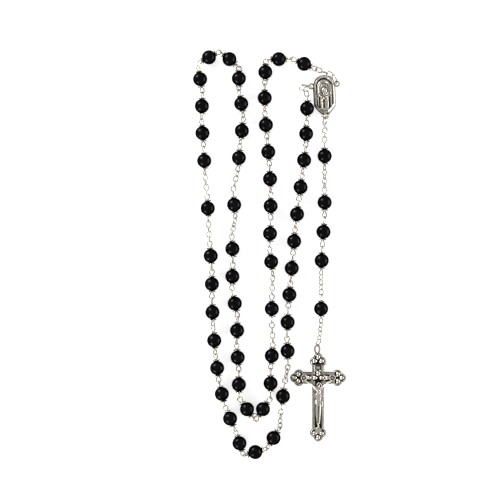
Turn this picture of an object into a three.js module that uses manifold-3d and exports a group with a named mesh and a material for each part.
// A five-decade rosary laid out flat: 6 mm beads on eye pins, linked eye to eye, with short chains
// beside each Our Father bead, a centre medal and a crucifix. Units are mm and +Z is up.
import * as THREE from 'three';
import { mergeVertices } from 'three/addons/utils/BufferGeometryUtils.js';
import Module from 'manifold-3d';

const wasm = await Module();
wasm.setup();

// Driving sizes
const BEAD_RADIUS = 3;
const STRAND_HEIGHT = BEAD_RADIUS; // the pins lie level with the middles of the beads
const WIRE = 0.45; // wire of the eye pins and the chain links
const EYE_WIDTH = 2.6;
const LINK_WIDTH = 2.4;
const LINKS_PER_CHAIN = 4;
const CAP_RIM = 1.65; // radius of a bead cap's rim
const CAP_STANDS_OFF = 0.25; // how far the rim stands off the bead
const CAP_APEX = 3.5; // distance of a cap's top from the bead's middle
const EYE_ROOT = 2.8; // where the wire of an eye ends, inside its cap
const BORE_RADIUS = 0.6; // hole through a bead that turns on its pin
const BORED_FACE = 2.4; // distance of the flat round a bore from the bead's middle
const CAP_THICKNESS = 0.1;
const PIN_RADIUS = 0.28;
const RUNNING = 0.25; // space between two wires that move on each other
const CORNER_RUNNING = 0.3; // the same where a chain leaves its ring sideways
const BITE = 0.2; // how far two wires that don't move run into each other
const LOOSE = 0.3; // space round a bead that turns on its pin
const ROLL = Math.PI / 4; // a loop's roll about the strand, to one side and then to the other
const SHOULDER = 1.02; // angle from the pin to the outline's corner between cap and girth
const BEAD_SEGMENTS = 8;
const LOOP_SEGMENTS = 6;
const WIRE_SEGMENTS = 4;

// Places where one bead's eye meets the next, or a chain's end, from the medal outwards [x, y].
const LEFT_DECADE_1 = [
  [16.2, 67], [15.8, 56.5], [15.5, 45.5], [14, 34], [12.5, 22.5], [11, 11],
  [10, -0.5], [9, -12], [8, -23], [7.5, -35.5], [8, -47.5],
];
const LEFT_OUR_FATHER_1 = [[6.5, -55], [5, -66.5]];
const LEFT_DECADE_2 = [
  [4.5, -74], [-1, -83], [-11, -86], [-14.5, -75.5], [-19, -65], [-21.5, -54.5],
  [-23, -43], [-24, -31], [-24.5, -19], [-24.5, -7], [-25.5, 5],
];
const LEFT_OUR_FATHER_2 = [[-26, 13.5], [-26.5, 25]];
const LEFT_DECADE_3 = [[-27.5, 33.5], [-28, 45.5], [-29, 57], [-28.5, 68.5], [-30.5, 80]];
const RIGHT_DECADE_5 = [
  [20, 78.5], [9.5, 83], [-1.5, 82.5], [-2, 72], [-2, 60.5], [-1, 49], [0, 37.5],
  [0.5, 26], [0.5, 14.5], [0, 2.5], [1.5, -9.5],
];
const RIGHT_OUR_FATHER_4 = [[1, -17.5], [1, -29.5]];
const RIGHT_DECADE_4 = [
  [1.5, -38], [0.5, -49], [0.5, -61.5], [-6, -71], [-13, -61.5], [-13, -50],
  [-14, -38.5], [-13.5, -27], [-16, -15.5], [-15.5, -4], [-16, 8],
];
const RIGHT_OUR_FATHER_3 = [[-14.5, 15], [-15.5, 26.5]];
const RIGHT_DECADE_3 = [
  [-13.5, 35], [-12.5, 46.5], [-11, 58], [-13, 69.5], [-13, 79.5], [-21, 86], [-30.5, 81],
];
const PENDANT_FIRST = [[23.5, 47.5], [23.5, 35.5]];
const PENDANT_HAIL_MARYS = [[23.5, 28], [23.5, 15.5], [22.5, 3], [22, -9]];
const PENDANT_LAST = [[22, -17.5], [22, -29.5]];

// The runs of small links that aren't straight: the crumpled one at the medal's left and its partner.
const LEFT_SIDE_LINKS = [[14.7, 71.4, 3], [13.3, 69.7, 3], [15.4, 69, 3], [16.2, 67, 3]];
const RIGHT_RING_END = [26.9, 75.9, 2.9];
const PENDANT_RING_END = [23.7, 55.3, 2.8];
const CRUCIFIX_RING = [[21.2, -36.8, 2.5], [20.4, -39.2, 1.3]];

// Medal, in its own frame with the origin at the middle of its panel
const MEDAL_PLACE = [23.5, 67.6];
const MEDAL_TILT = THREE.MathUtils.degToRad(2);
const MEDAL_HALF_WIDTH = 4.75;
const MEDAL_TOP = 8.2;
const MEDAL_SHOULDER = 3.4;
const MEDAL_WAIST = -3.6;
const MEDAL_POINT = -8;
const MEDAL_THICKNESS = 2;
const MEDAL_PANEL_DEPTH = 0.7;
const MEDAL_RIM = 1.15;
const MEDAL_PANEL_FOOT = -5.7;
const MEDAL_FLAT = 0.22; // half width of the flat at the foot, as a share of the medal's
const MEDAL_BELLY = 0.8; // how full the curves down to the foot are
const EAR_LENGTH = 2.7;
const EAR_WIRE = 0.6;
const EAR_HEIGHT = 1.36;

// Crucifix, in its own frame with the origin where the beams cross
const CROSS_PLACE = [20.8, -53];
const CROSS_TOP = 10.4;
const CROSS_FOOT = -27;
const CROSS_REACH = 12;
const BEAM_WIDTH = 5;
const CROSS_THICKNESS = 1.7;
const CHANNEL_DEPTH = 0.45;
const CHANNEL_BORDER = 0.7;
const LOBE_RADIUS = 1.5;
const LOBE_SPREAD = 2;
const LOBE_BACK = 1.9;
const LOBE_SEGMENTS = 10;
const PLAQUE_PLACE = 3.9; // above the crossing
const PLAQUE_WIDTH = 3;
const PLAQUE_HEIGHT = 1.2;
const PLAQUE_DEPTH = 0.7;
const MEDALLION_PLACE = 6.1; // out along each arm
const MEDALLION_RADIUS = 1.25;

// Jump rings, and the links beside the medal that take the strand round to the beads' roll
const EAR_RING_WIDTH = 4.2;
const SMALL_RING_WIDTH = 3.6;
const RING_WIRE = 0.5;
const RING_LEAN = THREE.MathUtils.degToRad(62); // from lying flat, seen along the strand
const LEFT_RING_LEAN = THREE.MathUtils.degToRad(80);
const SIDE_LINKS = 3;
const SIDE_ROLL = THREE.MathUtils.degToRad(-10);
const SIDE_ROLL_STEP = THREE.MathUtils.degToRad(-75);

const SILVER = { color: 0xb3aca0, roughness: 0.38, metalness: 1 };
const BRIGHT_SILVER = { color: 0xcfcdc8, roughness: 0.28, metalness: 1 };
const BLACK_GLASS = { color: 0x0b0b0c, roughness: 0.12, metalness: 0 };

/** Turns a closed three.js geometry into a solid for joining and cutting. */
function solidOf(geometry) {
  const bare = geometry.clone();
  bare.deleteAttribute('normal');
  bare.deleteAttribute('uv');
  const merged = mergeVertices(bare, 1e-4);
  const index = merged.index.array;
  const triangles = [];
  for (let i = 0; i < index.length; i += 3) {
    const [a, b, c] = [index[i], index[i + 1], index[i + 2]];
    if (a !== b && b !== c && c !== a) {
      triangles.push(a, b, c);
    }
  }
  const mesh = new wasm.Mesh({
    numProp: 3,
    vertProperties: new Float32Array(merged.attributes.position.array),
    triVerts: new Uint32Array(triangles),
  });
  return new wasm.Manifold(mesh);
}

/** Turns a solid back into a three.js geometry with flat faces. */
function geometryOf(solid) {
  const { vertProperties, triVerts } = solid.getMesh();
  const geometry = new THREE.BufferGeometry();
  geometry.setAttribute('position', new THREE.BufferAttribute(vertProperties, 3));
  geometry.setIndex(new THREE.BufferAttribute(triVerts, 1));
  const flat = geometry.toNonIndexed();
  flat.computeVertexNormals();
  return flat;
}

function joined(solids) {
  return solids.reduce((whole, piece) => whole.add(piece));
}

function moved(geometry, x, y, z) {
  return geometry.translate(x, y, z);
}

/** The frame that runs from one point to another along X, rolled about that line. */
function frameAlong(from, to, roll = 0) {
  const ahead = to.clone().sub(from).normalize();
  const side = new THREE.Vector3(0, 0, 1).cross(ahead).normalize();
  const up = ahead.clone().cross(side);
  const basis = new THREE.Matrix4().makeBasis(ahead, side, up);
  basis.multiply(new THREE.Matrix4().makeRotationX(roll));
  return basis.setPosition(from.clone().add(to).multiplyScalar(0.5));
}

/** A closed wire loop lying in XY with its length along X and a straight stretch at each end. */
function loopGeometry(length, width, wire) {
  const radius = (width - wire) / 2 / Math.cos(Math.PI / LOOP_SEGMENTS);
  const loop = new THREE.TorusGeometry(radius, wire / 2, WIRE_SEGMENTS, LOOP_SEGMENTS);
  loop.rotateZ(Math.PI / LOOP_SEGMENTS);
  const stretch = (length - width) / 2;
  const position = loop.attributes.position;
  for (let i = 0; i < position.count; i += 1) {
    const x = position.getX(i);
    position.setX(i, x + Math.sign(Math.round(x * 1000)) * stretch);
  }
  return loop;
}

/** A loop whose wire runs from one end point to the other, both on the wire's middle line. */
function loopBetween(from, to, width, wire, roll) {
  const loop = loopGeometry(from.distanceTo(to) + wire, width, wire);
  return solidOf(loop.applyMatrix4(frameAlong(from, to, roll)));
}

/** A body turned about X from an outline of [radius, place along X]. */
function turned(outline) {
  const points = outline.map(([r, y]) => new THREE.Vector2(r, y));
  return new THREE.LatheGeometry(points, BEAD_SEGMENTS).rotateZ(-Math.PI / 2);
}

/** The other half of an outline that is the same at both ends. */
function mirrored(half) {
  return half.map(([r, y]) => [r, -y]).reverse();
}

/** A bead with its two caps, from an outline that starts and ends on the axis. */
function cappedBead() {
  const capSeat = Math.sqrt(BEAD_RADIUS ** 2 - CAP_RIM ** 2);
  const half = [
    [0, -CAP_APEX],
    [CAP_RIM, -capSeat - CAP_STANDS_OFF],
    [BEAD_RADIUS * Math.sin(SHOULDER), -BEAD_RADIUS * Math.cos(SHOULDER)],
  ];
  return turned([...half, [BEAD_RADIUS, 0], ...mirrored(half)]);
}

/** A bare bead with a bore. */
function boredBead() {
  const half = [
    [BORE_RADIUS, -BORED_FACE],
    [CAP_RIM, -BORED_FACE],
    [BEAD_RADIUS * Math.sin(SHOULDER), -BEAD_RADIUS * Math.cos(SHOULDER)],
  ];
  return turned([...half, [BEAD_RADIUS, 0], ...mirrored(half), half[0]]);
}

/** A pin with a cap at each end, as loose inside the bored bead as it is outside it. */
function cappedPin() {
  const capFace = BORED_FACE + LOOSE;
  const half = [
    [0, -CAP_APEX],
    [CAP_RIM, -capFace - CAP_THICKNESS],
    [CAP_RIM, -capFace],
    [PIN_RADIUS, -capFace],
  ];
  return turned([...half, ...mirrored(half)]);
}

/** The heading of a piece where it starts, and where it ends. */
function firstHeading({ points }) {
  return points[1].clone().sub(points[0]).normalize();
}

function lastHeading({ points }) {
  return points.at(-1).clone().sub(points.at(-2)).normalize();
}

/** How far the wires of two pieces stand from their meeting place, so that a bend keeps its space. */
function spread(before, after) {
  const turn = lastHeading(before).angleTo(firstHeading(after));
  return ((before.wire + after.wire) / 2 + after.running) / 2 / Math.cos(turn / 2);
}

/** One loop between two places, with its wire standing out past each of them. */
function loop(from, to, startSpread, endSpread, piece, roll) {
  const ahead = to.clone().sub(from).normalize();
  const start = from.clone().addScaledVector(ahead, -startSpread);
  const end = to.clone().addScaledVector(ahead, endSpread);
  return loopBetween(start, end, piece.width, piece.wire, roll);
}

/** Links from place to place, each rolled on from the one before. */
function chainSolid(piece, startSpread, endSpread) {
  const held = (piece.wire - BITE) / 2;
  const last = piece.points.length - 2;
  const solids = piece.points.slice(0, -1).map((from, i) => {
    const start = i === 0 ? startSpread : held;
    const end = i === last ? endSpread : held;
    return loop(from, piece.points[i + 1], start, end, piece, piece.roll + i * piece.rollStep);
  });
  return joined(solids);
}

/** A pin's two eyes and, at its middle, what sits on it. */
function pinSolid(from, to, startSpread, endSpread, middle) {
  const ahead = to.clone().sub(from).normalize();
  const centre = from.clone().add(to).multiplyScalar(0.5);
  const eye = (end, way, stand) => {
    const root = centre.clone().addScaledVector(ahead, way * EYE_ROOT);
    const tip = end.clone().addScaledVector(ahead, way * stand);
    return loopBetween(tip, root, EYE_WIDTH, WIRE, -ROLL);
  };
  const body = solidOf(middle.applyMatrix4(frameAlong(from, to)));
  return joined([body, eye(from, -1, startSpread), eye(to, 1, endSpread)]);
}

/** Beads from place to place, held eye to eye. */
function beadsSolid(piece, startSpread, endSpread) {
  const held = (WIRE - BITE) / 2;
  const last = piece.points.length - 2;
  const solids = piece.points.slice(0, -1).map((from, i) => {
    const start = i === 0 ? startSpread : held;
    const end = i === last ? endSpread : held;
    return pinSolid(from, piece.points[i + 1], start, end, cappedBead());
  });
  return joined(solids);
}

const PINNED = { wire: WIRE, width: EYE_WIDTH, running: RUNNING, finish: BLACK_GLASS };
const CHAINED = { wire: WIRE, width: LINK_WIDTH, running: RUNNING, finish: BRIGHT_SILVER };

function onStrand([x, y]) {
  return new THREE.Vector3(x, y, STRAND_HEIGHT);
}

function point([x, y, z]) {
  return new THREE.Vector3(x, y, z);
}

function beads(name, points) {
  return { ...PINNED, name, points, solid: beadsSolid };
}

/** A pin whose bead turns on it. */
function pinned(name, points) {
  const solid = (piece, start, end) => pinSolid(...piece.points, start, end, cappedPin());
  return { ...PINNED, name: `${name}_pin`, points, solid, finish: BRIGHT_SILVER, beadName: name };
}

function ring(name, points, width, roll) {
  const solid = (piece, start, end) => loop(...piece.points, start, end, piece, roll);
  return { name, points, width, wire: RING_WIRE, running: RUNNING, solid, finish: BRIGHT_SILVER };
}

function chain(name, points, roll = -ROLL, rollStep = Math.PI / 2) {
  return { ...CHAINED, name, points, roll, rollStep, solid: chainSolid };
}

/** The chain between a ring at the medal's side and the first bead. */
function sideChain(name, points) {
  return { ...chain(name, points, SIDE_ROLL, SIDE_ROLL_STEP), running: CORNER_RUNNING };
}

function evenSteps(from, to, count) {
  return Array.from({ length: count + 1 }, (_, i) => from.clone().lerp(to, i / count));
}

function straightChain(name, from, to) {
  return chain(name, evenSteps(from, to, LINKS_PER_CHAIN));
}

/** A decade's beads in pairs, from the medal outwards. firstBead counts up or down by step. */
function decade(number, places, firstBead, step) {
  const points = places.map(onStrand);
  const pairs = [];
  for (let i = 0; i + 2 < points.length; i += 2) {
    const one = firstBead + i * step;
    const two = one + step;
    const name = `decade_${number}_beads_${Math.min(one, two)}_${Math.max(one, two)}`;
    pairs.push(beads(name, points.slice(i, i + 3)));
  }
  return pairs;
}

/** A strand's Our Father bead with the chain on either side of it. */
function ourFather(name, before, places, after, chainBefore, chainAfter) {
  const [from, to] = places.map(onStrand);
  return [
    straightChain(chainBefore, onStrand(before), from),
    beads(name, [from, to]),
    straightChain(chainAfter, to, onStrand(after)),
  ];
}

const rosary = new THREE.Group();

/** Adds a mesh whose origin is at a given place, and notes the hinge that it turns on. */
function addNode(group, name, solid, finish, place, hinge = null) {
  const geometry = geometryOf(solid).translate(-place.x, -place.y, -place.z);
  const mesh = new THREE.Mesh(geometry, new THREE.MeshStandardMaterial(finish));
  mesh.name = name;
  mesh.position.copy(place);
  mesh.userData.hinge = hinge;
  group.add(mesh);
}

/**
 * Builds a run of pieces outwards from the medal, each hinged on the one before. Hinges turn one way
 * and the other by turns, so a run folds up as a zigzag; firstSense says which way its first one goes.
 */
function buildRun(root, pieces, firstSense = 1) {
  const group = new THREE.Group();
  rosary.add(group);
  pieces.forEach((piece, i) => {
    const before = pieces[i - 1] ?? root;
    const after = pieces[i + 1];
    const startSpread = spread(before, piece);
    const endSpread = after ? spread(piece, after) : 0;
    const bisector = lastHeading(before).add(firstHeading(piece));
    const sense = i % 2 ? -firstSense : firstSense;
    const axis = new THREE.Vector3(-bisector.y, bisector.x, 0).normalize().multiplyScalar(sense);
    const hinge = { parent: before.name, axis };
    const solid = piece.solid(piece, startSpread, endSpread);
    addNode(group, piece.name, solid, piece.finish, piece.points[0], hinge);
    if (piece.beadName) {
      const centre = piece.points[0].clone().lerp(piece.points[1], 0.5);
      const bead = solidOf(boredBead().applyMatrix4(frameAlong(...piece.points)));
      const spin = { parent: piece.name, axis: firstHeading(piece), turnsFreely: true };
      addNode(group, `${piece.beadName}_bead`, bead, BLACK_GLASS, centre, spin);
    }
  });
}

/** A place on the medal in the rosary's frame. */
function onMedal(x, y) {
  const place = new THREE.Vector2(x, y).rotateAround(new THREE.Vector2(), MEDAL_TILT);
  return new THREE.Vector3(MEDAL_PLACE[0] + place.x, MEDAL_PLACE[1] + place.y, EAR_HEIGHT);
}

/** The medal's outline, or with a margin the outline of the panel inside its rim. */
function medalOutline(margin, foot) {
  const half = MEDAL_HALF_WIDTH - margin;
  const shape = new THREE.Shape();
  shape.moveTo(-half, MEDAL_WAIST);
  shape.lineTo(-half, MEDAL_SHOULDER);
  shape.absellipse(0, MEDAL_SHOULDER, half, MEDAL_TOP - margin - MEDAL_SHOULDER, Math.PI, 0, true);
  shape.lineTo(half, MEDAL_WAIST);
  shape.quadraticCurveTo(half * MEDAL_BELLY, foot * MEDAL_BELLY, half * MEDAL_FLAT, foot);
  shape.lineTo(-half * MEDAL_FLAT, foot);
  shape.quadraticCurveTo(-half * MEDAL_BELLY, foot * MEDAL_BELLY, -half, MEDAL_WAIST);
  return shape;
}

function prism(shape, depth, bottom, curveSegments = 6) {
  const options = { depth, bevelEnabled: false, curveSegments };
  return solidOf(moved(new THREE.ExtrudeGeometry(shape, options), 0, 0, bottom));
}

/** An ellipsoid for modelling in relief: its middle, its half sizes and its turn. */
function mound(x, y, z, rx, ry, rz, turn = 0) {
  const ball = new THREE.SphereGeometry(1, 8, 6).rotateX(Math.PI / 2);
  ball.scale(rx, ry, rz).rotateZ(turn);
  return solidOf(moved(ball, x, y, z));
}

/** An ear in the medal's plane, as a loop whose inner end is sunk in the plate. */
function ear(x, y, direction) {
  const geometry = loopGeometry(EAR_LENGTH, EAR_LENGTH, EAR_WIRE).rotateZ(direction);
  return solidOf(moved(geometry, x, y, EAR_HEIGHT));
}

const LEFT_EAR = [-5.45, 4, Math.PI];
const RIGHT_EAR = [5.5, 4.5, Math.PI * 0.18];
const BOTTOM_EAR = [0, -9.1, -Math.PI / 2];

/** The veiled half figure in low relief: veil, head, shoulders and folded mantle. */
function medalFigure(floor) {
  return joined([
    mound(0, 0.4, floor, 2.5, 5.2, 0.75),
    mound(0.1, 2.2, floor + 0.2, 1.75, 2.5, 0.8),
    mound(0.25, 2.5, floor + 0.55, 1.05, 1.4, 0.75, -0.12),
    mound(-1.1, -2.6, floor + 0.1, 1.1, 2.6, 0.85, 0.15),
    mound(1.2, -2.6, floor + 0.1, 1, 2.6, 0.8, -0.15),
  ]);
}

function buildMedal() {
  const floor = MEDAL_THICKNESS - MEDAL_PANEL_DEPTH;
  const plate = prism(medalOutline(0, MEDAL_POINT), MEDAL_THICKNESS, 0);
  const panel = prism(medalOutline(MEDAL_RIM, MEDAL_PANEL_FOOT), MEDAL_PANEL_DEPTH + 1, floor);
  const ears = [LEFT_EAR, RIGHT_EAR, BOTTOM_EAR].map((place) => ear(...place));
  const whole = joined([plate.subtract(panel), medalFigure(floor - 0.1), ...ears]);
  const mesh = new THREE.Mesh(geometryOf(whole), new THREE.MeshStandardMaterial(SILVER));
  mesh.name = 'centre_medal';
  mesh.position.set(...MEDAL_PLACE, 0);
  mesh.rotation.z = MEDAL_TILT;
  rosary.add(mesh);
}

/** The budded end of a beam: three lobes round its tip. */
function lobes(reach, direction, radius, depth, bottom) {
  const places = [[reach - LOBE_RADIUS, 0], [reach - LOBE_RADIUS - LOBE_BACK, LOBE_SPREAD],
    [reach - LOBE_RADIUS - LOBE_BACK, -LOBE_SPREAD]];
  return places.map(([x, y]) => {
    const lobe = new THREE.CylinderGeometry(radius, radius, depth, LOBE_SEGMENTS);
    lobe.rotateX(Math.PI / 2);
    return solidOf(moved(lobe, x, y, bottom + depth / 2).rotateZ(direction));
  });
}

function slab(x, y, width, height, depth, bottom) {
  return solidOf(moved(new THREE.BoxGeometry(width, height, depth), x, y, bottom + depth / 2));
}

/** Both beams with their budded ends, kept a margin inside the crucifix's outline. */
function crossShape(margin, depth, bottom) {
  const width = BEAM_WIDTH - 2 * margin;
  const ends = LOBE_RADIUS + LOBE_BACK;
  const upright = slab(0, (CROSS_TOP + CROSS_FOOT) / 2, width, CROSS_TOP - CROSS_FOOT - ends,
    depth, bottom);
  const arms = slab(0, 0, 2 * CROSS_REACH - ends, width, depth, bottom);
  return joined([
    upright,
    arms,
    ...lobes(CROSS_TOP, Math.PI / 2, LOBE_RADIUS - margin, depth, bottom),
    ...lobes(-CROSS_FOOT, -Math.PI / 2, LOBE_RADIUS - margin, depth, bottom),
    ...lobes(CROSS_REACH, 0, LOBE_RADIUS - margin, depth, bottom),
    ...lobes(CROSS_REACH, Math.PI, LOBE_RADIUS - margin, depth, bottom),
  ]);
}

/** The corpus in low relief: head, body, arms raised along the beam, cloth, legs and feet. */
function corpus(floor) {
  return joined([
    mound(0.3, -3.3, floor + 0.5, 0.85, 1.05, 0.85),
    mound(0.1, -7.2, floor, 1.5, 3.3, 0.95),
    mound(0, -10.4, floor, 1.65, 1.3, 1.05),
    mound(0.1, -15.3, floor, 1.05, 5, 0.9),
    mound(0, -20.6, floor, 0.75, 2.2, 0.75),
    mound(-3.3, -3, floor, 3.4, 0.6, 0.7, -0.55),
    mound(3.5, -3, floor, 3.4, 0.6, 0.7, 0.55),
  ]);
}

const CROSS_LOOP = [-0.4, 12.2];
const CROSS_LOOP_LENGTH = 4.6;
const CROSS_LOOP_WIDTH = 2.8;

function crucifixSolid() {
  const floor = CROSS_THICKNESS - CHANNEL_DEPTH;
  const plate = crossShape(0, CROSS_THICKNESS, 0);
  const channel = crossShape(CHANNEL_BORDER, CHANNEL_DEPTH + 1, floor);
  const hanger = loopGeometry(CROSS_LOOP_LENGTH, CROSS_LOOP_WIDTH, EAR_WIRE).rotateZ(Math.PI / 2);
  const whole = joined([
    plate.subtract(channel),
    corpus(floor),
    slab(0, PLAQUE_PLACE, PLAQUE_WIDTH, PLAQUE_HEIGHT, PLAQUE_DEPTH, floor - 0.1),
    mound(-MEDALLION_PLACE, 0, floor, MEDALLION_RADIUS, MEDALLION_RADIUS, 0.5),
    mound(MEDALLION_PLACE, 0, floor, MEDALLION_RADIUS, MEDALLION_RADIUS, 0.5),
    solidOf(moved(hanger, ...CROSS_LOOP, EAR_HEIGHT)),
  ]);
  return whole.translate([...CROSS_PLACE, 0]);
}

/** The crucifix as the last piece of the pendant run. */
function crucifix() {
  const top = point(CRUCIFIX_RING[1]);
  const below = top.clone().add(new THREE.Vector3(0, -1, 0));
  return {
    name: 'crucifix',
    points: [top, below],
    wire: EAR_WIRE,
    running: RUNNING,
    solid: crucifixSolid,
    finish: SILVER,
  };
}

/** The medal's ear as the place where a run starts, heading away from the plate. */
function medalEar([x, y, direction], towards) {
  const heading = towards ?? direction;
  const wireMiddle = (EAR_LENGTH - EAR_WIRE) / 2;
  const stand = (RING_WIRE + EAR_WIRE) / 4 + RUNNING / 2;
  const reach = wireMiddle - stand;
  const place = onMedal(x + reach * Math.cos(heading), y + reach * Math.sin(heading));
  return { name: 'centre_medal', points: [onMedal(x, y), place], wire: EAR_WIRE };
}

function leftRun() {
  const root = medalEar(LEFT_EAR);
  const side = LEFT_SIDE_LINKS.map(point);
  const decade1 = decade(1, LEFT_DECADE_1, 1, 1);
  const decade2 = decade(2, LEFT_DECADE_2, 1, 1);
  buildRun(root, [
    ring('ring_left', [root.points[1], side[0]], EAR_RING_WIDTH, LEFT_RING_LEAN),
    sideChain('chain_medal_left', side),
    ...decade1,
    ...ourFather('our_father_after_decade_1', LEFT_DECADE_1.at(-1), LEFT_OUR_FATHER_1,
      LEFT_DECADE_2[0], 'chain_decade_1_end', 'chain_decade_2_start'),
    ...decade2,
    ...ourFather('our_father_after_decade_2', LEFT_DECADE_2.at(-1), LEFT_OUR_FATHER_2,
      LEFT_DECADE_3[0], 'chain_decade_2_end', 'chain_decade_3_start'),
    ...decade(3, LEFT_DECADE_3, 1, 1),
  ]);
}

function rightRun() {
  const root = medalEar(RIGHT_EAR, Math.PI * 0.65);
  const ringEnd = point(RIGHT_RING_END);
  const side = evenSteps(ringEnd, onStrand(RIGHT_DECADE_5[0]), SIDE_LINKS);
  buildRun(root, [
    ring('ring_right', [root.points[1], ringEnd], EAR_RING_WIDTH, RING_LEAN),
    sideChain('chain_medal_right', side),
    ...decade(5, RIGHT_DECADE_5, 10, -1),
    ...ourFather('our_father_after_decade_4', RIGHT_DECADE_5.at(-1), RIGHT_OUR_FATHER_4,
      RIGHT_DECADE_4[0], 'chain_decade_5_start', 'chain_decade_4_end'),
    ...decade(4, RIGHT_DECADE_4, 10, -1),
    ...ourFather('our_father_after_decade_3', RIGHT_DECADE_4.at(-1), RIGHT_OUR_FATHER_3,
      RIGHT_DECADE_3[0], 'chain_decade_4_start', 'chain_decade_3_end'),
    ...decade(3, RIGHT_DECADE_3, 10, -1),
  ], -1);
}

function pendantRun() {
  const root = medalEar(BOTTOM_EAR);
  const ringEnd = point(PENDANT_RING_END);
  const first = PENDANT_FIRST.map(onStrand);
  const hailMarys = PENDANT_HAIL_MARYS.map(onStrand);
  const last = PENDANT_LAST.map(onStrand);
  const [crossRingStart, crossRingEnd] = CRUCIFIX_RING.map(point);
  buildRun(root, [
    ring('ring_pendant', [root.points[1], ringEnd], SMALL_RING_WIDTH, RING_LEAN),
    straightChain('chain_pendant_1', ringEnd, first[0]),
    pinned('pendant_our_father_1', first),
    straightChain('chain_pendant_2', first[1], hailMarys[0]),
    ...[1, 2, 3].map((n) => pinned(`pendant_hail_mary_${n}`, hailMarys.slice(n - 1, n + 1))),
    straightChain('chain_pendant_3', hailMarys[3], last[0]),
    pinned('pendant_our_father_2', last),
    straightChain('chain_pendant_4', last[1], crossRingStart),
    ring('ring_crucifix', [crossRingStart, crossRingEnd], SMALL_RING_WIDTH, -RING_LEAN),
    crucifix(),
  ]);
}

buildMedal();
leftRun();
rightRun();
pendantRun();

const extent = new THREE.Box3().setFromObject(rosary);
rosary.position.set(-(extent.min.x + extent.max.x) / 2, -(extent.min.y + extent.max.y) / 2, 0);

export default rosary;
